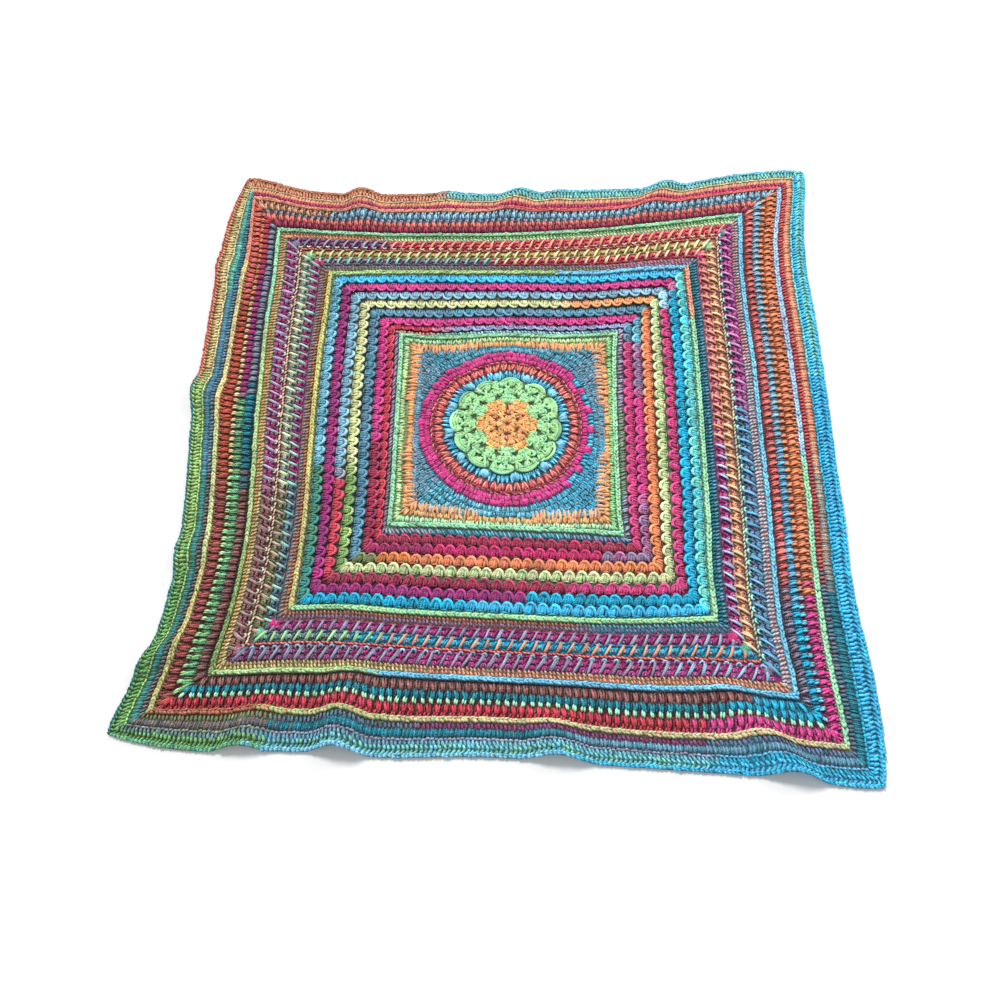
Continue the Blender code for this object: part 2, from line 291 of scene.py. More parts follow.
def wool():
    """The yarn's material: marled plies, a fibrous nap and a soft sheen."""
    material = bpy.data.materials.new("wool")
    material.use_nodes = True
    nodes, links = material.node_tree.nodes, material.node_tree.links
    shader = nodes["Principled BSDF"]
    shader.inputs["Roughness"].default_value = 0.86
    shader.inputs["Specular IOR Level"].default_value = 0.20
    shader.inputs["Sheen Weight"].default_value = 0.15
    shader.inputs["Sheen Roughness"].default_value = 0.5

    def math_node(operation, first, second):
        node = nodes.new("ShaderNodeMath")
        node.operation = operation
        for socket, value in zip(node.inputs, (first, second)):
            if hasattr(value, "links"):
                links.new(value, socket)
            else:
                socket.default_value = value
        return node.outputs[0]

    def noise(scale, detail):
        node = nodes.new("ShaderNodeTexNoise")
        node.inputs["Scale"].default_value = scale
        node.inputs["Detail"].default_value = detail
        links.new(place, node.inputs["Vector"])
        return node.outputs["Fac"]

    def ranged(value, low, high, to_low=0.0, to_high=1.0):
        node = nodes.new("ShaderNodeMapRange")
        limits = {"From Min": low, "From Max": high, "To Min": to_low, "To Max": to_high}
        for title, limit in limits.items():
            node.inputs[title].default_value = limit
        links.new(value, node.inputs["Value"])
        return node.outputs["Result"]

    def blended(share, first, second):
        node = nodes.new("ShaderNodeMix")
        node.data_type = "RGBA"
        links.new(share, node.inputs["Factor"])
        links.new(first, node.inputs["A"])
        links.new(second, node.inputs["B"])
        return node.outputs["Result"]

    run = nodes.new("ShaderNodeSeparateXYZ")
    links.new(nodes.new("ShaderNodeUVMap").outputs["UV"], run.inputs[0])
    turns = math_node("ADD", run.outputs["X"], run.outputs["Y"])
    wound = math_node("SINE", math_node("MULTIPLY", turns, 2 * math.tau), 0.0)
    place = nodes.new("ShaderNodeTexCoord").outputs["Object"]
    fibres = noise(800.0, 2.0)
    # The two ply colours come from colour attributes that hold the yarn's dye with painted light and shade
    # put on it.
    main = nodes.new("ShaderNodeAttribute")
    main.attribute_name = "DyeAndPaintedLight"
    second = nodes.new("ShaderNodeAttribute")
    second.attribute_name = "PlyAndPaintedLight"

    # The second ply shows where it winds to the top and in flecks, and pale specks lie on both.
    wanted = math_node("MULTIPLY", wound, 0.35)
    wanted = math_node("ADD", wanted, math_node("MULTIPLY", noise(260.0, 3.0), 1.1))
    marled = blended(ranged(wanted, 0.55, 0.85), main.outputs["Color"], second.outputs["Color"])
    whitened = nodes.new("ShaderNodeVectorMath")
    whitened.operation = "MULTIPLY_ADD"
    links.new(second.outputs["Color"], whitened.inputs[0])
    whitened.inputs[1].default_value = (1.3, 1.3, 1.3)
    whitened.inputs[2].default_value = (0.16, 0.17, 0.18)
    specks = ranged(noise(380.0, 2.0), 0.54, 0.68, to_high=0.70)
    toned = nodes.new("ShaderNodeVectorMath")
    toned.operation = "SCALE"
    links.new(blended(specks, marled, whitened.outputs["Vector"]), toned.inputs[0])
    links.new(ranged(fibres, 0.3, 0.7, 0.62, 1.40), toned.inputs["Scale"])
    links.new(toned.outputs["Vector"], shader.inputs["Base Color"])

    relief = math_node("MULTIPLY", wound, 0.5)
    relief = math_node("ADD", relief, math_node("MULTIPLY", fibres, 0.7))
    bump = nodes.new("ShaderNodeBump")
    bump.inputs["Strength"].default_value = 0.6
    bump.inputs["Distance"].default_value = 0.0006
    links.new(relief, bump.inputs["Height"])
    links.new(bump.outputs["Normal"], shader.inputs["Normal"])
    return material


WOOL = wool()


# The flower
# The afghan starts with a flower of puffy orange petals round a small ring, a green round of
# looped petals, and spoked rounds with bobbles and popcorns. Each strand that shows is a tube
# of yarn, drawn in millimetres: along the round, outwards, up from the floor, and its radius.

TUBE_SIDES = 4
FLOOR_CLEARANCE = 0.4 * MM
TWIST = 7 * MM  # length of strand in which the plies go once round
CORNER_REACH = 15.0  # how far from a mitre the stitches of a round start to turn with it
STRAY, LEAN = 0.35, 0.05  # how far a stitch strays, in millimetres, and leans at a looseness of 1
STRAND_STRAY = 0.25  # how far each strand strays along the round besides
UNEVEN_SIZE, UNEVEN, UNEVEN_TONE = 0.06, 0.07, 0.14  # spread of sizes, heights and radii, tones
# Each strand's shading value is painted light: above 1 a painted highlight on strands that lie on top, below
# 1 painted shade on strands that lie low or under others. Each stitch also varies it a little at random.
Strand = namedtuple("Strand", "run tone yarn")


def strand(*points, steps=4, tone=1.0, yarn=0):
    """A smooth strand through points (along, out, up, radius), in one of its round's yarns."""
    points = np.array(points, float)
    around = np.vstack((2 * points[0] - points[1], points, 2 * points[-1] - points[-2]))
    at = np.linspace(0, len(points) - 1, steps)
    i = np.minimum(at.astype(int), len(points) - 2)
    run = curved(around[i], around[i + 1], around[i + 2], around[i + 3], (at - i)[:, None])
    return Strand(run, tone, yarn)


def moved(strands, along=0.0, out=0.0):
    """The same strands in another spot."""
    return [Strand(one.run + (along, out, 0, 0), one.tone, one.yarn) for one in strands]


def mirrored(strands):
    """The strands and their mirror images along the round."""
    return strands + [Strand(one.run * (-1, 1, 1, 1), one.tone, one.yarn) for one in strands]


class Crochet:
    """The stitches of one piece, gathered strand by strand on the squared-up cloth."""

    def __init__(self, looseness=1.0, heather=0.5):
        self.looseness, self.heather = looseness, heather
        self.spots, self.mains, self.seconds, self.faces, self.wraps = [], [], [], [], []
        self.count = 0

    def gather(self, flat, up, radius, main, second):
        """Adds one tube for each row of points; painted shade darkens the colours where a strand dives
        under, and its middle is painted a little lighter.
        """
        paths = np.concatenate((flat, up[..., None]), axis=-1)
        ahead = np.gradient(paths, axis=1)
        ahead /= np.linalg.norm(ahead, axis=-1, keepdims=True) + 1e-12
        across = np.cross(ahead, (0, 0, 1.0))
        across /= np.linalg.norm(across, axis=-1, keepdims=True) + 1e-12
        above = np.cross(across, ahead)
        angles = np.arange(TUBE_SIDES) * math.tau / TUBE_SIDES
        ring = across[:, :, None] * np.cos(angles)[:, None] + above[:, :, None] * np.sin(angles)[:, None]
        spots = paths[:, :, None] + radius[:, :, None, None] * ring
        spots[..., 2] = np.maximum(spots[..., 2], FLOOR_CLEARANCE)
        number, steps = paths.shape[:2]
        self.spots.append(spots.reshape(-1, 3))

        # Painted shade: each strand is painted darker towards its ends, where it dives under other strands,
        # and a little lighter in its middle, where it stands highest.
        painted_shade_along = 0.22 + 0.86 * np.sin(np.linspace(0.10, 0.90, steps) * math.pi)
        for shade, kept in ((main, self.mains), (second, self.seconds)):
            shades = shade[:, None, None] * painted_shade_along[:, None, None] * np.ones((1, 1, TUBE_SIDES, 1))
            kept.append(shades.reshape(-1, 3))

        k, s = np.meshgrid(np.arange(steps - 1), np.arange(TUBE_SIDES), indexing="ij")
        after = (s + 1) % TUBE_SIDES
        here, ahead = k * TUBE_SIDES, (k + 1) * TUBE_SIDES
        quads = np.stack((here + s, ahead + s, ahead + after, here + after), axis=-1).reshape(-1, 4)
        last = (steps - 1) * TUBE_SIDES
        quads = np.vstack((quads, (0, 1, 2, 3), (last + 3, last + 2, last + 1, last)))
        starts = self.count + np.arange(number)[:, None, None] * steps * TUBE_SIDES
        self.faces.append((quads + starts).reshape(-1, 4))

        lengths = np.linalg.norm(np.diff(paths, axis=1), axis=-1)
        lengths = np.concatenate((np.zeros((number, 1)), np.cumsum(lengths, axis=1)), axis=1) / TWIST
        lengths += dice.random((number, 1))
        near, far = lengths[:, k], lengths[:, k + 1]
        low, high = s / TUBE_SIDES + 0 * near, (s + 1) / TUBE_SIDES + 0 * near
        wraps = np.stack((near, low, far, low, far, high, near, high), axis=-1).reshape(number, -1, 8)
        caps = np.zeros((number, 2, 8))
        self.wraps.append(np.concatenate((wraps, caps), axis=1).reshape(-1, 2))
        self.count += number * steps * TUBE_SIDES

    def work(self, strands, put, places, charts):
        """Works the same strands at every place, each a little differently, as hands do."""
        number = len(places)
        shades = [dyed(chart, places, self.heather) for chart in charts]
        shift = dice.normal(0, STRAY * self.looseness, (number, 1))
        lean = dice.normal(0, LEAN * self.looseness, (number, 1))
        for one in strands:
            run = np.repeat(one.run[None], number, axis=0)
            middle = run.mean(axis=1, keepdims=True)
            size = dice.normal(1, UNEVEN_SIZE, (number, 1, 1))
            run[..., :2] = middle[..., :2] + (run - middle)[..., :2] * size
            stray = dice.normal(0, STRAND_STRAY * self.looseness, (number, 1))
            run[..., 0] += shift + lean * run[..., 1] + stray
            run[..., 1] += dice.normal(0, STRAY * self.looseness, (number, 1))
            run[..., 2] *= dice.normal(1, UNEVEN, (number, 1))
            run[..., 3] *= dice.normal(1, UNEVEN, (number, 1))
            main, second = shades[min(one.yarn, len(shades) - 1)]
            # Painted light: the strand's painted highlight or shade, times a random tone for each stitch.
            tone = one.tone * dice.normal(1, UNEVEN_TONE, (number, 1))
            flat = put(run[..., 0], run[..., 1])
            self.gather(MM * flat, MM * run[..., 2], MM * run[..., 3], main * tone, second * tone)

    def ring(self, strands, radius, count, first, charts, keep=None):
        """Works the strands round a circle, from a first angle in degrees."""
        angles = math.radians(first) + np.arange(count) * math.tau / count
        if keep is not None:
            angles = angles[keep(np.degrees(angles) % 360)]
        quarters = (angles / QUARTER + 1.5) % 4

        for side in SIDES:
            mine = quarters.astype(int) == side
            here, places = angles[mine], (quarters[mine] % 1) * 2 - 1

            def put(along, out):
                turn = here[:, None] + along / radius
                return np.stack(((radius + out) * np.cos(turn), (radius + out) * np.sin(turn)), axis=-1)

            if len(here):
                self.work(strands, put, places, [chart[side] for chart in charts])

    def round(self, strands, half, pitch, charts, count=None, bow=(0, 0, 0, 0)):
        """Works the strands along the four sides of a round, square to them, up to the mitres."""
        count = count or round(2 * half / pitch)
        spots = (np.arange(count) + 0.5) * 2 * half / count - half
        turns = np.sign(spots) * np.clip(1 - (half - abs(spots)) / CORNER_REACH, 0, 1)
        for side in SIDES:
            bows = bow[side] * (1 - (spots / half) ** 2)

            def put(along, out):
                out = out + bows[:, None]
                along = spots[:, None] + along + turns[:, None] * out
                out = half + out
                return turned(np.stack((np.clip(along, -out, out), -out), axis=-1), side)

            self.work(strands, put, spots / half, [chart[side] for chart in charts])

    def made(self, name):
        """Makes the gathered stitches one mesh, where the worn cloth lies."""
        spots = laid(np.concatenate(self.spots))
        faces, wraps = np.concatenate(self.faces), np.concatenate(self.wraps)
        mesh = bpy.data.meshes.new(name)
        mesh.vertices.add(len(spots))
        mesh.vertices.foreach_set("co", spots.ravel())
        mesh.loops.add(faces.size)
        mesh.loops.foreach_set("vertex_index", faces.ravel())
        mesh.polygons.add(len(faces))
        mesh.polygons.foreach_set("loop_start", np.arange(0, faces.size, 4))
        mesh.polygons.foreach_set("use_smooth", np.ones(len(faces), bool))
        mesh.update(calc_edges=True)
        mesh.uv_layers.new(name="UVMap").uv.foreach_set("vector", wraps.ravel())
        # The colour attributes hold the plies' colours with the painted shade and highlights put on them.
        for title, shades in (("DyeAndPaintedLight", self.mains), ("PlyAndPaintedLight", self.seconds)):
            shades = np.concatenate(shades)
            colour_attribute = mesh.color_attributes.new(title, "FLOAT_COLOR", "POINT")
            colour_attribute.data.foreach_set("color", np.hstack((shades, np.ones((len(shades), 1)))).ravel())
        mesh.materials.append(WOOL)
        piece = bpy.data.objects.new(name, mesh)
        scene.collection.objects.link(piece)
        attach(piece, "root")
        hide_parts("afghan")
        return piece


def all_round(*charts):
    """Each chart for all four sides."""
    return tuple((chart,) * 4 for chart in charts)


def puff(width, length, height, strands_across):
    """A bobble: strands that rise side by side from one spot and meet again in another."""
    made = []
    for x in np.linspace(-width, width, strands_across):
        fall = height * (1 - 0.35 * (x / width) ** 2)
        made.append(
            strand(
                (x * 0.3, -length, 2.5, 1.1), (x * 0.85, -length * 0.5, fall * 0.8, 1.9),
                (x, 0.4, fall, 2.1), (x * 0.85, length * 0.6, fall * 0.75, 1.8),
                (x * 0.3, length, 2.5, 1.1), steps=6,
            )
        )
    return made


flower = Crochet(looseness=2.2)
ORANGE = all_round("orange+tan", "orange+yellow")
GREEN = all_round("green+palegreen", "lime+mint", "green+deepgreen")
tuft = [
    strand((-1.0, -7.0, 3.0, 1.5), (-3.8, 0.0, 6.6, 2.4), (-5.8, 6.5, 3.0, 1.5)),
    strand((0.0, -7.5, 3.0, 1.5), (0.4, 0.0, 7.4, 2.5), (-0.4, 7.5, 3.0, 1.5), yarn=1),
    strand((1.0, -7.0, 3.0, 1.5), (3.8, 0.0, 6.4, 2.4), (5.6, 6.5, 3.0, 1.5)),
    strand((-6.6, 3.5, 3.4, 1.4), (-0.6, 7.4, 7.0, 2.1), (6.2, 3.0, 3.4, 1.4), yarn=1),
]
PETAL_REACH = 19  # degrees from the middle of an orange petal to its sides


def off_petal(angles):
    """How far angles lie from the middle of the nearest petal, in degrees."""
    return abs((angles + 30) % 60 - 30)


knot = mirrored([strand((0.8, -4.0, 3.0, 1.3), (2.8, 0.5, 5.8, 2.0), (1.0, 4.6, 3.0, 1.3))])
hub = mirrored([strand((0.6, -4.6, 3.0, 1.4), (2.4, 0.5, 6.0, 2.2), (1.2, 5.0, 3.0, 1.4))])
flower.ring(hub, 7.5, 6, 0, ORANGE)
flower.ring(tuft, 13.0, 6, 0, ORANGE)
flower.ring(knot, 13.0, 6, 30, ORANGE)
flower.ring(tuft, 25.0, 6, 0, ORANGE)
flower.ring(knot, 26.5, 12, 15, ORANGE)
flower.ring(knot, 27.5, 6, 30, ORANGE)
flower.ring(tuft, 33.5, 12, 15, ORANGE)
flower.ring(tuft, 39.0, 18, 0, ORANGE)
flower.ring(tuft, 48.5, 36, 0, ORANGE, keep=lambda a: off_petal(a) < PETAL_REACH)

flower.ring(tuft, 52.0, 36, 0, GREEN, keep=lambda a: off_petal(a) > PETAL_REACH)
flower.ring(tuft, 61.0, 48, 3.75, GREEN, keep=lambda a: abs(a % 30 - 15) > 3.9)
flower.ring(tuft, 72.0, 36, 0, GREEN)
lattice = [
    strand((-5.8, -7, 3.2, 1.4), (0.6, -1.6, 7.0, 2.3), (5.0, 6, 5.6, 2.1), (6.6, 10, 3.0, 1.4), steps=5),
    strand((6.0, -7, 3.0, 1.4), (-0.6, 0.6, 6.2, 2.2), (-6.4, 8, 3.2, 1.4), yarn=1),
    strand((-1.0, 2, 3.4, 1.5), (-3.0, 6, 5.8, 2.1), (-1.0, 12, 3.2, 1.4)),
    strand((1.4, 1, 3.4, 1.5), (3.2, 6, 5.4, 2.0), (1.4, 12, 3.2, 1.4), yarn=2),
]
flower.ring(lattice, 80, 24, 14.5, GREEN)
flower.ring(tuft, 89.0, 36, 5.0, GREEN)
start, end = (-23, -6, 2.8, 1.5), (23, -6, 2.8, 1.5)
loop_arcs = [
    strand(start, (-14, 1.4, 6.8, 2.3), (0, 4.4, 7.8, 2.5), (14, 1.4, 6.8, 2.3), end, steps=8, yarn=1),
    strand(start, (-11, -2.6, 7.0, 2.3), (0, -0.2, 7.6, 2.4), (11, -2.6, 7.0, 2.3), end, steps=8),
    strand((-16, -9, 3.2, 1.4), (0, -4.4, 6.6, 2.2), (16, -9, 3.2, 1.4), steps=6, yarn=1),
]
flower.ring(loop_arcs, 97.5, 12, 25, GREEN)

BLUE = all_round("sky+teal", "lightblue+sky", "sky+lightblue")
flower.ring(puff(6.2, 8.4, 11.0, 6), 107, 12, 10, (BLUE[2],))
spike = mirrored([strand((0.7, -6.5, 2.8, 1.2), (1.8, 1, 5.0, 1.8), (1.2, 8, 3.4, 1.2))])
spike.append(
    strand((-0.4, 1.0, 4.4, 1.3), (0.2, 7.0, 6.4, 1.9), (0, 13.5, 3.2, 0.9), yarn=1, tone=1.15)
)
flower.ring(spike, 107, 84, 1.4, BLUE, keep=lambda a: abs((a - 10 + 15) % 30 - 15) > 3.6)

CORAL = all_round("crimson+coral", "coral+tan", "crimson+maroon")
spoke = [
    strand((0.2, -10.5, 2.8, 1.2), (-2.6, -2, 5.8, 2.1), (-5.2, 8, 3.2, 1.4), yarn=1),
    strand((0.6, -10.0, 2.8, 1.2), (0.4, 0, 6.0, 2.1), (-0.4, 9, 3.2, 1.4)),
    strand((1.2, -10.5, 2.8, 1.2), (3.2, -2, 5.6, 2.1), (4.8, 8, 3.2, 1.4), yarn=1),
    strand((6.2, -9, 2.6, 1.2), (6.6, -2, 4.4, 1.8), (6.4, 3, 2.8, 1.2), yarn=2),
]
flower.ring(spoke, 128, 56, 3.0, CORAL)
crossing = [
    strand((-5.6, 1.8, 3.8, 1.4), (0, -0.8, 6.2, 2.0), (5.6, 1.0, 4.0, 1.4), yarn=2),
    strand((-5.6, -1.4, 3.4, 1.2), (0, 2.6, 4.8, 1.8), (5.6, 2.6, 3.6, 1.2), yarn=1, tone=0.9),
]
flower.ring(crossing, 137.0, 78, 0, CORAL)

MAGENTA = all_round("magenta+pink", "pink+magenta", "crimson+magenta")
POPCORNS = 24
TEAL_ARC = (38, 312)  # between these angles the last round is magenta, and teal past them
short_spoke = [
    strand((-0.8, -6, 3.2, 1.5), (0.6, 0, 6.0, 2.2), (0.2, 6.5, 3.8, 1.6)),
    strand((2.4, -6, 3.0, 1.4), (2.0, 1, 5.2, 2.0), (3.0, 7.0, 3.4, 1.4), yarn=1),
]
last_spoke = [
    strand((-0.6, -6, 3.2, 1.5), (0.5, 0, 6.4, 2.3), (0, 6.5, 3.2, 1.5)),
    strand((2.6, -5, 3.0, 1.4), (2.2, 1, 5.4, 2.0), (2.8, 6.0, 3.2, 1.4), yarn=1),
]


def past_popcorns(angles):
    """Whether angles in degrees miss the popcorns."""
    pitch = 360 / POPCORNS
    return abs((angles + 2 + pitch / 2) % pitch - pitch / 2) > 2.6


flower.ring(short_spoke, 147.0, 164, 0.5, MAGENTA)
flower.ring(puff(5.8, 7.4, 11.0, 6), 157.0, POPCORNS, -2, (MAGENTA[0],))
flower.ring(
    last_spoke, 156.5, 164, 1.2, MAGENTA,
    keep=lambda a: (a > TEAL_ARC[0]) & (a < TEAL_ARC[1]) & past_popcorns(a),
)
flower.ring(
    last_spoke, 158.5, 150, 1.2, all_round("teal+cyan", "teal+lightblue"),
    keep=lambda a: ((a < TEAL_ARC[0]) | (a > TEAL_ARC[1])) & past_popcorns(a),
)
pieces = [flower.made("flower")]


# The rounds that square the flower up
# Teal stitches fill the corners round the circle, then an orange round of long spokes, a plain
# light green round and a short leaning round make it a square, with a raised cord between.

squared = Crochet(looseness=2.6, heather=0.9)
TEAL = (
    ("teal+lightblue 0.3 teal+sky", "teal+sky -0.2 teal+bluegrey", "teal+bluegrey", "teal+bluegrey"),
    ("lightblue+teal 0.3 sky+teal", "sky+teal -0.2 lightblue+teal", "lightblue+teal", "lightblue+teal"),
    (
        "darkteal+teal 0.3 teal+bluegrey", "teal+bluegrey -0.2 darkteal+grey",
        "darkteal+teal", "darkteal+grey",
    ),
)
TWEED_PITCH = 8.4
tweed = [
    strand((-2.6, -6, 2.8, 1.3), (-1.6, 0, 5.6, 2.1), (-2.2, 6.5, 3.0, 1.4)),
    strand((1.6, -6, 2.8, 1.3), (2.6, 0, 5.2, 2.0), (1.4, 6.5, 3.0, 1.4), yarn=1),
    strand((-4.6, 3.2, 3.2, 1.3), (0.2, 6.2, 6.2, 2.0), (4.8, 2.6, 3.2, 1.3), yarn=2),
]
SQUARE = 165.0
BOWS = (12, 12, 4, 0)  # how far the middles of the near, right, far and left sides bow outwards
for radius in (169.0, 180.0, 191.0, 203.0, 215.0):

    def in_corner(angles, reach=radius + 4.0):
        """Where a ring of this reach is still inside the bowed square."""
        turn = np.radians(angles)
        longer = np.maximum(abs(np.cos(turn)), abs(np.sin(turn)))
        place = np.sqrt(1 - longer**2) / longer
        bows = np.array(BOWS)[((angles + 135) // 90).astype(int) % 4]
        return longer * reach < SQUARE + 6.0 + bows * (1 - place**2)

    squared.ring(tweed, radius, round(math.tau * radius / TWEED_PITCH), 0.7, TEAL, keep=in_corner)
squared.round(tweed, 164.5, TWEED_PITCH, TEAL, bow=BOWS)

ORANGE_ROUND = all_round("orange+tan", "orange+yellow")
long_spoke = [
    strand((-1.9, -6, 3.0, 1.2), (-0.9, 1, 6.0, 2.1), (0, 8.5, 4.2, 1.7)),
    strand((2.1, -5, 3.0, 1.2), (1.8, 2, 5.2, 1.9), (1.3, 8.5, 3.8, 1.5), yarn=1),
]
squared.round(long_spoke, 175.5, 6.8, ORANGE_ROUND, bow=(11, 11, 4, -1))
spiky = [
    strand((0.4, -12.5, 2.8, 1.0), (0.2, -5, 6.8, 2.1), (0.1, 3, 7.6, 2.2), (0, 12.5, 4.4, 1.7), steps=5),
    strand((2.6, -7.5, 2.8, 1.0), (1.8, -1, 5.2, 1.8), (1.4, 4, 5.0, 1.7)),
]
SPIKES_FROM, SPIKES_TO, SPIKE_PITCH = 50, 172, 6.8  # along a side, each way from its middle
SPIKE_OUT, SPIKE_DRAW = 9.0, 0.107  # the first one's shift outwards, and the loss with each millimetre
for toward in (-1, 1):
    for spot in np.arange(SPIKES_FROM, SPIKES_TO, SPIKE_PITCH):
        shifted = moved(spiky, along=toward * spot, out=SPIKE_OUT - (spot - SPIKES_FROM) * SPIKE_DRAW)
        squared.round(shifted, 171.0, SPIKE_PITCH, ORANGE_ROUND, count=1)

PALE_SC = (
    ("palegreen+mint", "palegreen+green", "lime+palegreen 0.5 mint+palegreen", "palegreen+lime"),
    ("green+cream", "mint+green", "cream+green 0.5 palegreen+green", "cream+palegreen"),
)
plain = [
    strand((0.5, -6.2, 3.0, 1.2), (1.9, -0.5, 5.2, 1.8), (2.6, 6.0, 3.0, 1.3)),
    strand((-0.5, -6.2, 3.0, 1.2), (-1.9, -0.5, 5.2, 1.8), (-2.6, 6.0, 3.0, 1.3), yarn=1),
]
squared.round(plain, 190.5, 7.0, PALE_SC, bow=(6, 6, 3, 3))
GREY_BLUE = (
    (
        "maroon+bluegrey -0.6 bluegrey+teal 0.5 bluegrey+purple",
        "crimson+bluegrey -0.6 grey+green 0.2 crimson+grey",
        "teal+lightblue 0.3 grey+mint 0.65 coral", "coral+grey 0.2 crimson+grey",
    ),
    (
        "bluegrey -0.6 lightblue+teal 0.5 sky+bluegrey", "bluegrey -0.6 deepgreen+grey 0.2 grey+lilac",
        "lightblue 0.3 bluegrey+mint 0.65 salmon", "grey+lilac 0.2 bluegrey+grey",
    ),
)
leaning = [
    strand((-2.6, -6.2, 3.2, 1.2), (0, 0, 5.6, 1.8), (2.8, 6.2, 3.2, 1.2), yarn=1),
    strand((0.8, -6.2, 3.0, 1.1), (3.2, 0, 4.4, 1.6), (5.6, 6.2, 3.0, 1.1), tone=0.6),
]
squared.round(leaning, 214.5, 7.0, GREY_BLUE)
pieces.append(squared.made("squaring_rounds"))


# The cluster rounds
# Seven rounds of clusters that lean to the right: a bold loop of yarn starts from a rounded top
# and runs down over the legs that fan out under it, with a small gap between two tops.


def charts_of(row):
    """A round's charts in the order of the sides."""
    return (row.near, row.right, row.far, row.left)


clusters = Crochet(looseness=1.5)
ClusterRound = namedtuple("ClusterRound", "inner count near right far left")
CLUSTER_ROUNDS = (
    ClusterRound(
        221, 23, "crimson+maroon", "crimson+pink 0.85 bluegrey+teal",
        "bluegrey+lilac 0.57 coral+crimson", "coral+crimson",
    ),
    ClusterRound(
        238.5, 25, "magenta+maroon -0.5 magenta+crimson 0.7 magenta+bluegrey",
        "magenta+bluegrey -0.6 magenta+pink 0.3 magenta+bluegrey 0.75 lightblue+teal",
        "magenta+pink", "magenta+pink 0.2 crimson+maroon",
    ),
    ClusterRound(
        257, 27, "brown+deepgreen -0.82 orange+rust -0.6 orange+salmon", "orange+salmon",
        "teal+bluegrey", "teal+bluegrey",
    ),
    ClusterRound(
        276.5, 28, "green+cream 0.9 lime+cream", "green+cream",
        "tan+orange -0.43 lime+cream", "lime+cream 0.3 lime+deepgreen",
    ),
    ClusterRound(
        296, 28, "crimson+maroon 0.3 crimson+pink", "crimson+pink 0.88 lightblue",
        "lightblue+bluegrey", "bluegrey+lightblue 0.30 coral+crimson",
    ),
    ClusterRound(
        315, 32, "magenta+purple 0.06 cyan+teal", "teal+cyan 0.9 pink", "magenta+pink", "magenta+purple",
    ),
    ClusterRound(
        333, 34, "teal+cyan -0.2 cyan+sky", "cyan+mint", "cyan+sky", "teal+lightblue 0.2 teal+deepgreen",
    ),
)
cluster = [
    strand(
        (-7.2, 9.0, 4.5, 1.8), (-4.8, 3.2, 7.2, 2.4), (1.0, 1.3, 8.0, 2.6),
        (6.6, 4.6, 7.4, 2.6), (9.6, 11.5, 5.6, 2.2), (11.2, 18.0, 3.0, 1.3),
        steps=8, tone=1.15, yarn=1,
    ),
    strand((-4.6, 3.8, 6.4, 2.0), (-7.8, 9.5, 6.2, 2.3), (-10.0, 17.2, 3.0, 1.4)),
    strand((-2.0, 3.6, 6.8, 2.1), (-4.4, 10.0, 6.8, 2.4), (-6.2, 18.0, 3.0, 1.4), tone=0.85),
    strand((1.0, 3.8, 6.6, 2.1), (0.0, 10.5, 7.0, 2.4), (-1.6, 18.0, 3.0, 1.4), yarn=1, tone=0.95),
    strand((4.0, 5.6, 6.2, 2.0), (4.6, 12.0, 6.4, 2.3), (3.8, 18.0, 3.0, 1.4), tone=0.8),
    strand((-9.6, 17.4, 3.2, 1.4), (-3.0, 16.0, 5.4, 1.8), (3.4, 17.8, 3.2, 1.4), tone=0.75),
]
CLUSTER_MIDDLE = 9.2  # from the inner edge of a round to its middle line
for row in CLUSTER_ROUNDS:
    half = row.inner + CLUSTER_MIDDLE
    clusters.round(moved(cluster, out=-CLUSTER_MIDDLE), half, 20, (charts_of(row),), count=row.count)
pieces.append(clusters.made("cluster_rounds"))


# The slanted rounds
# A plain round leads to three rounds of dark stitches, each crossed by long slanting posts,
# which meet in a bobble at each corner, and another plain round follows.

slanted = Crochet(looseness=1.6)
FIRST_SC = (
    (
        "rust+brown 0.4 teal+bluegrey", "teal+darkteal",
        "crimson+bluegrey -0.55 deepgreen+brown", "orange+brown",
    ),
    (
        "bluegrey+purple 0.4 purple+teal", "teal+bluegrey",
        "coral+grey -0.55 purple+bluegrey", "bluegrey+grey",
    ),
)
slanting_sc = [
    strand((-2.2, -6.6, 3.0, 1.2), (-0.2, -2.6, 5.4, 1.9), (2.0, 1.6, 3.2, 1.3)),
    strand((-0.8, 0.4, 3.0, 1.2), (0.6, 4.4, 5.0, 1.9), (2.6, 9.0, 3.0, 1.3), yarn=1),
]
slanted.round(slanting_sc, 369.5, 6.8, FIRST_SC)
SlantRound = namedtuple("SlantRound", "middle length grounds slants corner")
SLANT_ROUNDS = (
    SlantRound(
        392.5, 1.0,
        (
            "purple+magenta", "purple+magenta -0.1 crimson",
            "coral+crimson 0.05 purple+grey", "magenta+purple 0.3 maroon+teal",
        ),
        ("grey+bluegrey", "lightblue+lilac -0.1 salmon+tan", "cream+tan 0.05 bluegrey+mint", "grey+mint"),
        "crimson+magenta",
    ),
    SlantRound(
        410.5, 1.0,
        ("darkteal -0.6 teal+cyan", "tan+rust", "lime+rust", "tan+teal 0.3 brown+deepgreen"),
        (
            "palegreen+green -0.52 tan+salmon", "cream+tan",
            "cream+lime", "cream+palegreen 0.3 tan+grey",
        ), "teal+green",
    ),
    SlantRound(
        443.0, 1.25,
        (
            "maroon+purple -0.6 purple+magenta", "purple+teal 0.08 magenta+purple",
            "coral+crimson 0.55 maroon+purple", "crimson+purple 0.3 maroon+brown",
        ),
        (
            "grey+bluegrey 0.6 lightblue+bluegrey", "sky+bluegrey 0.08 pink+lilac",
            "salmon+tan 0.55 grey+bluegrey", "grey+lilac 0.3 grey+brown",
        ), "crimson+teal",
    ),
)
slant = [
    strand(
        (-7.0, 11.8, 3.2, 1.2), (-3.8, 6.0, 7.4, 1.9), (-0.4, -1.0, 8.0, 1.9),
        (2.2, -7.4, 7.6, 1.8), (4.4, -11.4, 4.4, 1.4), steps=5, yarn=1, tone=1.15,
    ),
    strand((-5.4, 11.4, 3.0, 1.1), (0.2, 0.4, 8.2, 1.9), (5.6, -10.6, 4.2, 1.3), yarn=1, tone=0.9),
]
